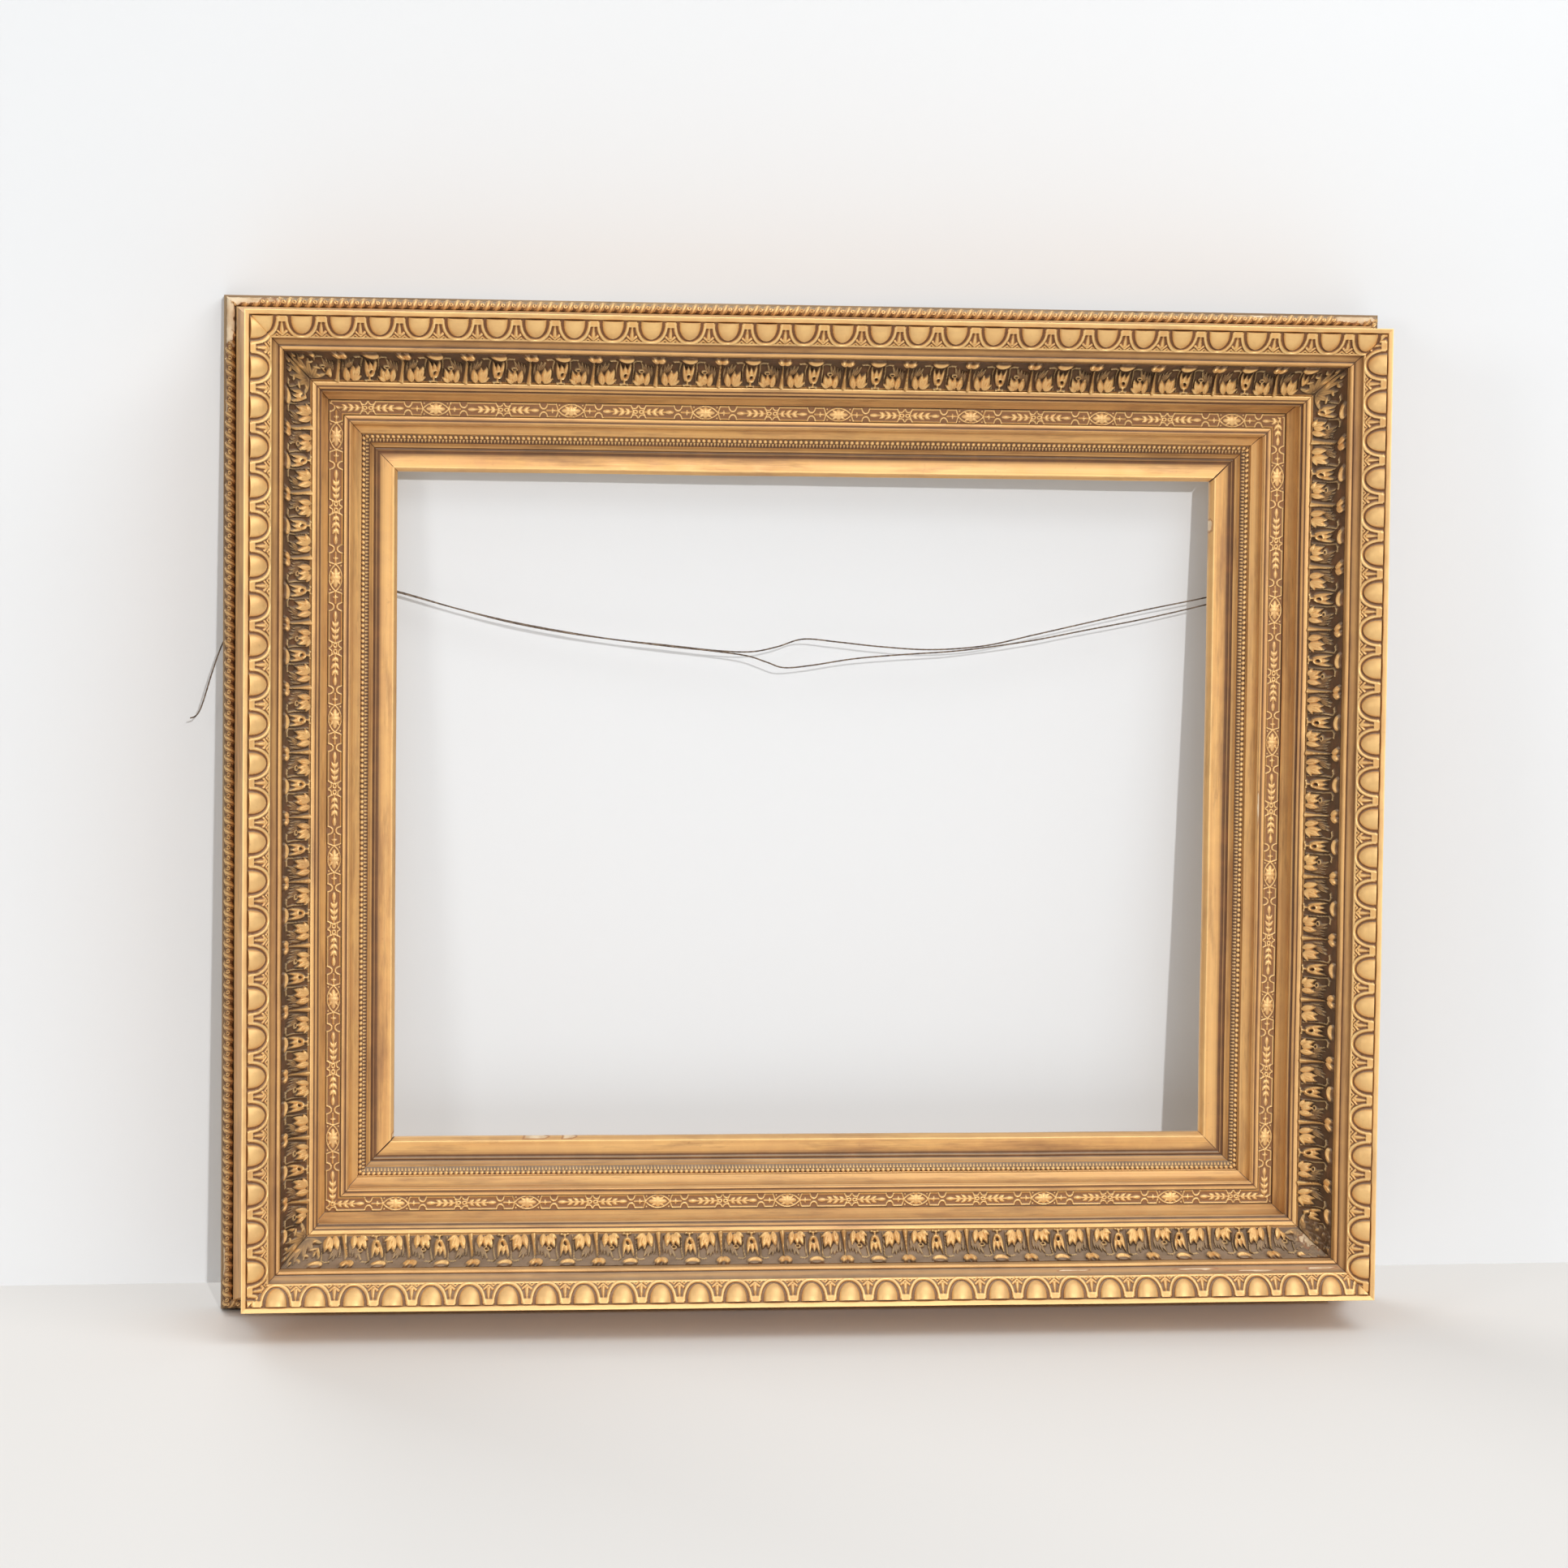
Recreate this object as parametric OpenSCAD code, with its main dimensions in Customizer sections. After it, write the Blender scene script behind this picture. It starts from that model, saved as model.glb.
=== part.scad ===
// Large gilt picture frame, empty, with a loose inner slip and a hanging wire.
// X runs along the width, the front faces -Y, Z is up, all in millimetres.
// The origin is the middle of the opening, in the plane of the wall behind the frame.

/* [Frame] */
// Overall width over the back rails
overall_w = 1326; // [900:1:1700]
// Overall height over the back rails
overall_h = 1147; // [760:1:1500]
// Distance from the wall to the front of the outer moulding
front_d = 176; // [170:1:190]

/* [Back rails] */
// Thickness of the pine back rails
back_thick = 22; // [18:0.5:26]
// Width of the back rails, from the outer edge to the rebate wall
back_wide = 146; // [140:1:147]
// Thickness of a feather key across a back mitre
key_thick = 3; // [2:0.5:5]
// Length of a feather key along each outer edge
key_leg = 70; // [40:1:90]

/* [Slip] */
// Distance from the wall to the back of the slip, which is the depth of the picture rebate
rebate_d = 12; // [8:0.5:14]
// Distance from the outer edge to the sight edge of the slip
sight_t = 195; // [190:1:205]

/* [Turn buttons] */
// Length of a brass turn button
button_long = 40; // [30:1:50]
// Width of a brass turn button
button_wide = 14; // [10:1:20]
// Thickness of a brass turn button
button_thick = 1.6; // [1:0.1:3]
// Distance from the outer edge to the pivot of a turn button
button_t = 130; // [120:1:135]

/* [Hanging wire] */
// Diameter of each steel strand
wire_dia = 1.8; // [1.2:0.1:3]
// Distance from the outer edge to the screw eyes
eye_t = 80; // [50:1:110]
// Height of the screw eyes above the middle of the opening
eye_up = 292; // [200:1:320]

/* [Hidden] */
$fn = 48;
SIDES = ["bottom", "left", "top", "right"];

// Outer edge of the front moulding, and the join between the outer and inner mouldings
front_t = 23;
join_t = 98;
// Room left between pieces that move past each other
slide_gap = 0.15;
hole_gap = 0.05;
// Every rail is cut from a blank wider than its profile
blank_t = 210;
blank_d = front_d + 10;
// Turn buttons, nails and screws repeat at these fractions of half a side
button_at = 0.46;
screw_at = [-0.78, -0.26, 0.26, 0.78];
nail_at = [-0.62, -0.2, 0.2, 0.62];
button_end = 7;
pin_r = 2;
head_r = 4;

function is_upright(k) = k % 2 == 1;
function side_len(k) = is_upright(k) ? overall_h : overall_w;
function side_out(k) = is_upright(k) ? overall_w / 2 : overall_h / 2;

// Points of an arc, from angle a to angle b in n steps
function arc(t, d, r, a, b, n = 8) =
    [for (i = [0 : n]) let (g = a + (b - a) * i / n) [t + r * cos(g), d + r * sin(g)]];

// Points of a hollow or a swell between two ends, bowed by a share of its length
function bowed(p, q, bow, n = 8) =
    let (run = [q[0] - p[0], q[1] - p[1]])
    [for (i = [0 : n]) let (s = i / n, h = bow * sin(180 * s))
        [p[0] + run[0] * s - run[1] * h, p[1] + run[1] * s + run[0] * h]];

// A side is drawn lying down: x along the rail, y inwards from the outer edge, z away from the wall
module on_side(k)
    rotate([0, 90 * k, 0])
        translate([0, 0, -side_out(k)])
            rotate([90, 0, 0])
                children();

// One mitred rail: the 2D child is its section, with x inwards and y away from the wall
module mitred(k) {
    half = side_len(k) / 2;
    on_side(k)
        intersection() {
            translate([-half, 0, 0])
                rotate([90, 0, 90])
                    linear_extrude(2 * half)
                        children();
            translate([0, 0, -blank_d])
                linear_extrude(2 * blank_d)
                    polygon([[-half, 0], [half, 0], [half - blank_t, blank_t], [-half + blank_t, blank_t]]);
        }
}

module back_section()
    polygon([[0, 0], [0, back_thick - 2], [2, back_thick], [back_wide, back_thick], [back_wide, 0]]);

// Outer moulding: hollow outer side, front edge, bed of the eggs, cove, rounded edge and leaf scotia
module outer_section()
    polygon(concat(
        [[14, back_thick], [14, 42]],
        bowed([14, 42], [front_t, front_d - 10], -0.07, 12),
        [[front_t, front_d], [28, front_d - 1], [29, front_d - 5]],
        bowed([29, front_d - 5], [51, 160], -0.03, 6),
        [[51, 163], [53, 162]],
        bowed([53, 162], [60, 151], -0.2, 6),
        arc(62.5, 149, 2.5, 150, -20, 6),
        [[65, 144]],
        bowed([66, 142], [join_t - 3, 102], -0.16, 12),
        [[join_t, 100], [join_t, back_thick]]
    ));

// Inner moulding: flat fillet, two reeds, cove, frieze bed, fillet, reed and the cove over the slip
module inner_section()
    polygon(concat(
        [[join_t, back_thick], [join_t, 103.5], [102, 103]],
        arc(103.5, 99, 2.5, 110, -30, 6),
        arc(106.5, 93, 2.5, 100, -40, 6),
        bowed([109, 90], [116, 62], -0.2, 8),
        [[116, 57.5], [134, 57.5], [134, 62], [138, 62]],
        arc(140.2, 60.6, 1.8, 140, 0, 5),
        bowed([143, 60], [152.5, 44], -0.2, 8),
        [[153, 43], [153, 38.2], [back_wide, 38.2], [back_wide, back_thick]]
    ));

// Slip: tongue under the lip, bed of the beads, smooth slope, step, reed, wide flat and sight bevel
module slip_section()
    polygon(concat(
        [[back_wide + 1, rebate_d], [back_wide + 1, 38], [154, 38], [154, 36.5], [163, 33.5]],
        bowed([163, 33.5], [168, 28], -0.12, 5),
        [[168.5, 26]],
        arc(170.8, 25, 1.7, 150, 20, 5),
        [[173, 25], [191, 26.5], [194.5, 20.5], [sight_t, 19], [sight_t, rebate_d]]
    ));

module ribbon_section()
    translate([7.6, back_thick])
        intersection() {
            union() {
                translate([-5, 0])
                    square([10, 5]);
                translate([0, 5])
                    circle(5);
            }
            translate([-6, 0])
                square([12, 12]);
        }

module egg_section()
    polygon(concat(
        [[29, front_d - 5], [29.5, front_d - 1]],
        bowed([29.5, front_d - 1], [50.5, 163], 0.16, 8),
        bowed([51, 160], [29, front_d - 5], 0.03, 6)
    ));

module leaf_section()
    polygon(concat(
        [[66, 142], [70, 146]],
        bowed([70, 146], [join_t - 4, 108], -0.1, 10),
        bowed([join_t - 3, 102], [66, 142], 0.16, 12)
    ));

module frieze_section()
    translate([116.5, 57.5])
        square([17, 2]);

module bead_section()
    polygon([[154, 36.5], [154, 40], [156.5, 41], [163, 36], [163, 33.5]]);

// A feather key is a thin triangle let into the mitre of two back rails
module feather_key(k)
    on_side(k)
        translate([-side_len(k) / 2, 0, (back_thick - key_thick) / 2])
            linear_extrude(key_thick)
                polygon([[0, 0], [key_leg, 0], [0, key_leg]]);

module corner_key(k)
    color("burlywood")
        feather_key(k);

// Wood screw from the back rail into the mouldings, its head flush with the back
module moulding_screw() {
    cylinder(h = 3, r1 = head_r, r2 = pin_r);
    translate([0, 0, 3])
        cylinder(h = 42, r = pin_r);
}

module moulding_screw_row(k)
    on_side(k)
        for (s = screw_at)
            translate([s * (side_len(k) / 2 - 80), 55, 0])
                moulding_screw();

module slip_nail_row(k)
    on_side(k)
        for (s = nail_at)
            translate([s * (side_len(k) / 2 - 150), back_wide - 12, rebate_d - 1])
                rotate([-90, 0, 0])
                    cylinder(h = 24, r = 0.8, $fn = 16);

module at_buttons(k)
    on_side(k)
        for (s = [-1, 1])
            translate([s * button_at * side_len(k) / 2, button_t, 0])
                children();

module button_screw_shank(k)
    at_buttons(k)
        cylinder(h = 16, r = pin_r);

// Screw eye: shank into the side rail, collar, and a ring that stands out behind
eye_ring_r = 7;
eye_wire_r = 1.5;
eye_out = 13;

function eye_along(k) = k == 3 ? eye_up : -eye_up;

module eye_shank(k)
    on_side(k)
        translate([eye_along(k), eye_t, 0])
            cylinder(h = 20, r = eye_wire_r);

module screw_eye(k)
    color("dimgray") {
        eye_shank(k);
        on_side(k)
            translate([eye_along(k), eye_t, 0]) {
                translate([0, 0, eye_ring_r - eye_out])
                    cylinder(h = eye_out - eye_ring_r, r = eye_wire_r);
                translate([0, 0, -1])
                    cylinder(h = 1, r = 3);
                translate([0, 0, -eye_out])
                    rotate([0, 90, 0])
                        rotate_extrude()
                            translate([eye_ring_r, 0])
                                circle(eye_wire_r);
            }
    }

module back_rail(k)
    color("tan")
        difference() {
            mitred(k) back_section();
            feather_key(k);
            feather_key((k + 3) % 4);
            moulding_screw_row(k);
            slip_nail_row(k);
            button_screw_shank(k);
            if (is_upright(k)) eye_shank(k);
        }

module outer_moulding(k)
    color("goldenrod")
        difference() {
            mitred(k) outer_section();
            moulding_screw_row(k);
        }

module ribbon_band(k)
    color("peru")
        mitred(k) ribbon_section();

module egg_band(k)
    color("gold")
        mitred(k) egg_section();

module leaf_band(k)
    color("sienna")
        mitred(k) leaf_section();

module inner_moulding(k)
    color("goldenrod")
        mitred(k) inner_section();

module frieze_band(k)
    color("rosybrown")
        mitred(k) frieze_section();

module slip_rail(k)
    color("khaki")
        mitred(k) slip_section();

module bead_band(k)
    color("gold")
        mitred(k) bead_section();

module moulding_screws()
    color("slategray")
        for (k = [0 : 3])
            moulding_screw_row(k);

module slip_nails()
    color("slategray")
        for (k = [0 : 3])
            slip_nail_row(k);

// Turn button: a round-ended plate with a hole near its outer end, lying over the rebate at rest
module turn_button(k, s)
    color("darkgoldenrod")
        on_side(k)
            translate([s * button_at * side_len(k) / 2, button_t, -slide_gap - button_thick])
                difference() {
                    linear_extrude(button_thick)
                        union() {
                            translate([-button_wide / 2, 0])
                                square([button_wide, button_long - 2 * button_end]);
                            circle(button_wide / 2);
                            translate([0, button_long - 2 * button_end])
                                circle(button_wide / 2);
                        }
                    translate([0, 0, -1])
                        cylinder(h = button_thick + 2, r = pin_r + hole_gap);
                }

module turn_button_screws()
    color("darkgoldenrod")
        for (k = [0 : 3]) {
            button_screw_shank(k);
            at_buttons(k) {
                translate([0, 0, -2 * slide_gap - button_thick])
                    cylinder(h = 2 * slide_gap + button_thick, r = pin_r);
                translate([0, 0, -2 * slide_gap - button_thick - 1.6])
                    cylinder(h = 1.6, r1 = 2.6, r2 = head_r);
            }
        }

// Hanging wire. Each route is a list of points on a smooth line, from the left eye to the right one.
UPPER = [
    [-586, 14, 301], [-585, 14, 292], [-578, 13, 283], [-560, 13, 271], [-530, 12, 259], [-500, 12, 250],
    [-460, 12, 241], [-400, 12, 224], [-340, 12, 210], [-280, 12, 199], [-220, 12, 190], [-160, 12, 184],
    [-100, 12, 178], [-60, 12, 177], [-30, 12, 183], [0, 12, 192], [40, 12, 189], [90, 12, 184],
    [150, 12, 181], [212, 12, 186], [270, 12, 199], [330, 12, 213], [400, 12, 229], [476, 12, 245],
    [530, 12, 259], [560, 13, 270], [578, 13, 283], [585, 14, 292], [586, 14, 301]
];
LOWER = [
    [-580, 11, 301], [-581, 11, 292], [-576, 10, 281], [-558, 9, 268], [-530, 9, 257], [-500, 9, 249],
    [-460, 9, 240], [-400, 9, 224], [-340, 9, 209], [-280, 9, 198], [-220, 9, 190], [-160, 9, 183],
    [-100, 9, 177], [-64, 9, 172], [-42, 9, 165], [-22, 9, 159], [10, 9, 162], [60, 9, 170],
    [114, 9, 175], [170, 9, 179], [212, 9, 184], [270, 9, 193], [330, 9, 205], [400, 9, 219],
    [476, 9, 237], [530, 9, 253], [558, 9, 266], [576, 10, 281], [581, 11, 292], [580, 11, 301]
];
TAIL = [
    [-588, 11, 299], [-588, 11, 292], [-594, 11, 280], [-606, 12, 262], [-622, 12, 241], [-638, 12, 221],
    [-652, 12, 202], [-664, 12, 181], [-675, 12, 150], [-684, 12, 120], [-689, 12, 106], [-694, 12, 99],
    [-700, 12, 97]
];

function unit(v) = v / norm(v);
function along(path, i) =
    unit(path[min(i + 1, len(path) - 1)] - path[max(i - 1, 0)]);

// A closed tube of eight sides swept along a route, the rings upright to the route
module swept_tube(path, r, sides = 8) {
    n = len(path);
    rings = [for (i = [0 : n - 1]) let (
            run = along(path, i),
            side = unit(cross(run, [0, 1, 0])),
            up = cross(side, run)
        ) for (j = [0 : sides - 1]) let (g = 360 * j / sides)
            path[i] + r * cos(g) * side + r * sin(g) * up];
    walls = [for (i = [0 : n - 2], j = [0 : sides - 1]) let (k = (j + 1) % sides)
        [i * sides + j, (i + 1) * sides + j, (i + 1) * sides + k, i * sides + k]];
    ends = [[for (j = [0 : sides - 1]) j], [for (j = [sides - 1 : -1 : 0]) (n - 1) * sides + j]];
    polyhedron(rings, concat(walls, ends));
}

module wire(path)
    color("gray")
        swept_tube(path, wire_dia / 2);

for (k = [0 : 3]) {
    back_rail(k);
    outer_moulding(k);
    ribbon_band(k);
    egg_band(k);
    leaf_band(k);
    inner_moulding(k);
    frieze_band(k);
    slip_rail(k);
    bead_band(k);
    turn_button(k, -1);
    turn_button(k, 1);
}
corner_key(0);  // corner_key_bottom_left
corner_key(1);  // corner_key_top_left
corner_key(2);  // corner_key_top_right
corner_key(3);  // corner_key_bottom_right
moulding_screws();
slip_nails();
screw_eye(1);  // screw_eye_left
screw_eye(3);  // screw_eye_right
turn_button_screws();
wire(UPPER);  // wire_upper
wire(LOWER);  // wire_lower
wire(TAIL);  // wire_tail
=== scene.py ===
import math

import bmesh
import bpy
import numpy as np
from mathutils import Matrix, Vector


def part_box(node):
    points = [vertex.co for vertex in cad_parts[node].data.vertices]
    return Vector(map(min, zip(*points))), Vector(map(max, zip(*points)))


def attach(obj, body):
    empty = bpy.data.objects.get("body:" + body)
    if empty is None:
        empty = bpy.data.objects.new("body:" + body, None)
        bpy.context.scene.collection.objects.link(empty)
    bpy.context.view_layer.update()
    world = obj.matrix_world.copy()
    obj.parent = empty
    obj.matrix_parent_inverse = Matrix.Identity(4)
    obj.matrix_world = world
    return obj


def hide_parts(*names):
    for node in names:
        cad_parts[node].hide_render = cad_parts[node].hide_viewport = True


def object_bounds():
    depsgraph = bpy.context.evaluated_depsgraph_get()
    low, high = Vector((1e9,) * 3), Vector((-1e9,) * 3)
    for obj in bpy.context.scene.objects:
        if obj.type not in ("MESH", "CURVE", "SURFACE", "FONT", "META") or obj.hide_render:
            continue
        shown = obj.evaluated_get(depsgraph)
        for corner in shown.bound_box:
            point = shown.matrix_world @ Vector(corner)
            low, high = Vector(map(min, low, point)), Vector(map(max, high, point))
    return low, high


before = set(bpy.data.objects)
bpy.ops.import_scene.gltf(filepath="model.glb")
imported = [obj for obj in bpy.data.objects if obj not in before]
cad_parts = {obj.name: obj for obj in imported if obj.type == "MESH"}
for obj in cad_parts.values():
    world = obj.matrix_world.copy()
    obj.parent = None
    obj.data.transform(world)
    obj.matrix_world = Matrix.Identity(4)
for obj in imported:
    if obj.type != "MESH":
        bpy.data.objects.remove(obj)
cad_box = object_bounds()

MM = 0.001
SIDES = ("bottom", "left", "top", "right")

# Driving sizes in millimetres, read from the frame
back_low, back_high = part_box("back_rail_bottom")
side_low, side_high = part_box("back_rail_left")
OVERALL_W = (back_high[0] - back_low[0]) / MM
OVERALL_H = (side_high[2] - side_low[2]) / MM
FRONT_D = -cad_box[0][1] / MM
BACK_THICK = (back_high[1] - back_low[1]) / MM

# Distances inwards from the overall edge, and the depth of the rebate, in millimetres
JOIN_T = 98
BACK_WIDE = 146
SIGHT_T = 195
REBATE_D = 12


def add_object(name, data):
    made = bpy.data.objects.new(name, data)
    bpy.context.collection.objects.link(made)
    return made


# -------- camera


# Where the camera stands, in metres, its turns, in radians, and its focal length over the sensor's width
CAMERA_PLACE = (-0.6246, -4.639 - FRONT_D * MM, 0.3205)
YAW, PITCH, ROLL = -0.12451, -0.06076, -0.01137
LENS_RATIO = 2.6915
SENSOR = 36


def add_camera():
    """A long lens, left of the frame and a little above its middle."""
    turn = Matrix.Rotation(YAW, 3, "Z") @ Matrix.Rotation(PITCH, 3, "X") @ Matrix.Rotation(ROLL, 3, "Y")
    right, ahead, up = turn.col[0], turn.col[1], turn.col[2]
    basis = Matrix((right, up, -ahead)).transposed().to_4x4()
    data = bpy.data.cameras.new("camera")
    data.sensor_width = SENSOR
    data.lens = SENSOR * LENS_RATIO
    camera = add_object("camera", data)
    camera.matrix_world = Matrix.Translation(Vector(CAMERA_PLACE)) @ basis
    bpy.context.scene.camera = camera


# -------- forms made on a grid


def skin(name, places, marks, crease=38):
    """A form from a grid of places: rows along it, and columns that go right round it."""
    rows, columns = places.shape[:2]
    bm = bmesh.new()
    bmesh.ops.create_grid(bm, x_segments=rows - 1, y_segments=columns, size=1)
    mesh = bpy.data.meshes.new(name)
    bm.to_mesh(mesh)
    flat = np.zeros(len(mesh.vertices) * 3)
    mesh.vertices.foreach_get("co", flat)
    flat = flat.reshape(-1, 3)
    row = np.rint((flat[:, 0] + 1) / 2 * (rows - 1)).astype(int)
    column = np.rint((flat[:, 1] + 1) / 2 * columns).astype(int) % columns
    mesh.vertices.foreach_set("co", places[row, column].ravel())
    for key, value in marks.items():
        value = np.broadcast_to(value, (rows, columns) + np.shape(value)[2:])[row, column]
        kind, field = ("FLOAT_VECTOR", "vector") if value.ndim == 2 else ("FLOAT", "value")
        mesh.attributes.new(key, kind, "POINT").data.foreach_set(field, value.ravel())
    bm.clear()
    bm.from_mesh(mesh)
    bmesh.ops.remove_doubles(bm, verts=bm.verts, dist=1e-7)
    bmesh.ops.holes_fill(bm, edges=[e for e in bm.edges if e.is_boundary], sides=0)
    bmesh.ops.recalc_face_normals(bm, faces=bm.faces)
    bm.to_mesh(mesh)
    bm.free()
    mesh.shade_smooth()
    mesh.set_sharp_from_angle(angle=math.radians(crease))
    piece = add_object(name, mesh)
    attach(piece, "frame")
    return piece


def finish_piece(piece, material, slot, *nodes):
    """Give a piece its material, and hide the CAD nodes that it stands for. The slot is not used."""
    piece.data.materials.append(material)
    if nodes:
        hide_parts(*nodes)


# -------- hanging wire


WIRE_DIAMETER = 1.8
WOUND_RADIUS = 0.62
UPPER_ROUTE = [
    (-586, 14, 301), (-585, 14, 292), (-578, 13, 283), (-560, 13, 271), (-530, 12, 259), (-500, 12, 250),
    (-460, 12, 241), (-400, 12, 224), (-340, 12, 210), (-280, 12, 199), (-220, 12, 190), (-160, 12, 184),
    (-100, 12, 178), (-60, 12, 177), (-30, 12, 183), (0, 12, 192), (40, 12, 189), (90, 12, 184),
    (150, 12, 181), (212, 12, 186), (270, 12, 199), (330, 12, 213), (400, 12, 229), (476, 12, 245),
    (530, 12, 259), (560, 13, 270), (578, 13, 283), (585, 14, 292), (586, 14, 301),
]
LOWER_ROUTE = [
    (-580, 11, 301), (-581, 11, 292), (-576, 10, 281), (-558, 9, 268), (-530, 9, 257), (-500, 9, 249),
    (-460, 9, 240), (-400, 9, 224), (-340, 9, 209), (-280, 9, 198), (-220, 9, 190), (-160, 9, 183),
    (-100, 9, 177), (-64, 9, 172), (-42, 9, 165), (-22, 9, 159), (10, 9, 162), (60, 9, 170),
    (114, 9, 175), (170, 9, 179), (212, 9, 184), (270, 9, 193), (330, 9, 205), (400, 9, 219),
    (476, 9, 237), (530, 9, 253), (558, 9, 266), (576, 10, 281), (581, 11, 292), (580, 11, 301),
]
TAIL_ROUTE = [
    (-588, 11, 299), (-588, 11, 292), (-594, 11, 280), (-606, 12, 262), (-622, 12, 241), (-638, 12, 221),
    (-652, 12, 202), (-664, 12, 181), (-675, 12, 150), (-684, 12, 120), (-689, 12, 106), (-694, 12, 99),
    (-700, 12, 97),
]


def smooth_route(route, step=1.1):
    """A smooth line through a route's points, evenly spaced, in millimetres."""
    p = np.array(route, float)
    p = np.concatenate([[2 * p[0] - p[1]], p, [2 * p[-1] - p[-2]]])
    u = np.linspace(0, 1, 12, endpoint=False)[:, None]
    parts = []
    for a, b, c, d in zip(p, p[1:], p[2:], p[3:]):
        square, cube = 2 * a - 5 * b + 4 * c - d, 3 * b - a - 3 * c + d
        parts.append(b + 0.5 * u * ((c - a) + u * (square + u * cube)))
    line = np.concatenate([*parts, p[-2:-1]])
    along = np.concatenate([[0], np.cumsum(np.linalg.norm(np.diff(line, axis=0), axis=1))])
    at = np.linspace(0, along[-1], int(along[-1] / step) + 1)
    return np.stack([np.interp(at, along, line[:, i]) for i in range(3)], axis=1), at


def tube(name, line, at, radius, strands=2, lay_length=7.0, sides=10, groove=0.06):
    """A wire of twisted strands round a line. at is the length along it."""
    ahead = np.gradient(line, axis=0)
    ahead /= np.linalg.norm(ahead, axis=1)[:, None]
    beside = np.cross(ahead, (0, 1, 0))
    beside /= np.linalg.norm(beside, axis=1)[:, None]
    behind = np.cross(beside, ahead)
    turn = np.linspace(0, 2 * math.pi, sides, endpoint=False)[None, :]
    twist = strands * (turn - 2 * math.pi * at[:, None] / lay_length / strands)
    r = radius * (1 - groove + groove * np.cos(twist))
    out = np.cos(turn)[..., None] * beside[:, None] + np.sin(turn)[..., None] * behind[:, None]
    places = (line[:, None] + r[..., None] * out) * MM
    return skin(name, places, {"relief": 0.5 + 0.5 * np.cos(twist)}, crease=80)


def add_wire(name, route, material):
    line, at = smooth_route(route)
    piece = tube(f"hanging_wire_{name}", line, at, WIRE_DIAMETER / 2)
    finish_piece(piece, material, "steel", f"wire_{name}")


def add_winding(name, start, ahead, material, turns=7, radius=2.0, pitch=1.5):
    """The wire's end wound round its standing part, close to a screw eye."""
    at = np.linspace(0, turns, turns * 16 + 1)
    ahead = np.array(ahead, float) / np.linalg.norm(ahead)
    beside = np.cross(ahead, (0, 1, 0))
    behind = np.cross(beside, ahead)
    g = 2 * math.pi * at[:, None]
    out = radius * (np.cos(g) * beside + np.sin(g) * behind)
    line = np.array(start, float) + ahead * (pitch * at[:, None]) + out
    piece = tube(name, line, at * 2 * math.pi * radius, WOUND_RADIUS, lay_length=5.0, sides=8)
    finish_piece(piece, material, "steel")


# -------- noise and relief helpers


def value_noise(x, y, seed):
    """Smooth noise from -1 to 1 on a lattice of hashed values."""
    xi, yi = np.floor(x), np.floor(y)
    fx, fy = x - xi, y - yi
    fx, fy = fx * fx * (3 - 2 * fx), fy * fy * (3 - 2 * fy)

    def corner(i, j):
        h = np.sin((xi + i) * 127.1 + (yi + j) * 311.7 + seed * 74.7) * 43758.5453
        return 2 * (h - np.floor(h)) - 1

    low = corner(0, 0) * (1 - fx) + corner(1, 0) * fx
    high = corner(0, 1) * (1 - fx) + corner(1, 1) * fx
    return low * (1 - fy) + high * fy


def clouds(x, y, size, seed, octaves=3):
    """Layered noise whose largest lumps are size millimetres wide."""
    total = 0
    for o in range(octaves):
        scale = 2**o / size
        total = total + value_noise(x * scale, y * scale, seed + o) / 2**o
    return total


def blurred(field, reach):
    """A grid of heights, each averaged with its neighbours up to reach steps away."""
    for axis in (0, 1):
        count = field.shape[axis]
        edge = [(reach, reach) if a == axis else (0, 0) for a in (0, 1)]
        wide = np.pad(field, edge, mode="edge")
        field = sum(np.take(wide, range(i, i + count), axis=axis) for i in range(2 * reach + 1))
        field = field / (2 * reach + 1)
    return field


def near_line(x, y, a, b):
    """Distance from points to the line from a to b."""
    run = (b[0] - a[0], b[1] - a[1])
    share = ((x - a[0]) * run[0] + (y - a[1]) * run[1]) / (run[0] ** 2 + run[1] ** 2)
    share = np.clip(share, 0, 1)
    return np.hypot(x - a[0] - share * run[0], y - a[1] - share * run[1])


def near_path(x, y, *points):
    return np.minimum.reduce([near_line(x, y, a, b) for a, b in zip(points, points[1:])])


def near_ring(x, y, centre, rx, ry):
    """Distance from points to an ellipse, near enough for thin lines."""
    r = np.hypot((x - centre[0]) / rx, (y - centre[1]) / ry)
    return np.abs(r - 1) * min(rx, ry)


def ridge(distance, half, height):
    """A rounded ridge along a line."""
    return height * np.sqrt(np.clip(1 - (distance / half) ** 2, 0, 1))


def band(distance, half, height, shoulder=0.5):
    """A flat ridge along a line, with steep shoulders."""
    return height * np.clip((half - np.abs(distance)) / shoulder, 0, 1) ** 0.7


def dome(x, y, centre, rx, ry, height, power=0.5):
    """A rounded mound on an ellipse."""
    r2 = ((x - centre[0]) / rx) ** 2 + ((y - centre[1]) / ry) ** 2
    return height * np.clip(1 - r2, 0, 1) ** power


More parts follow.
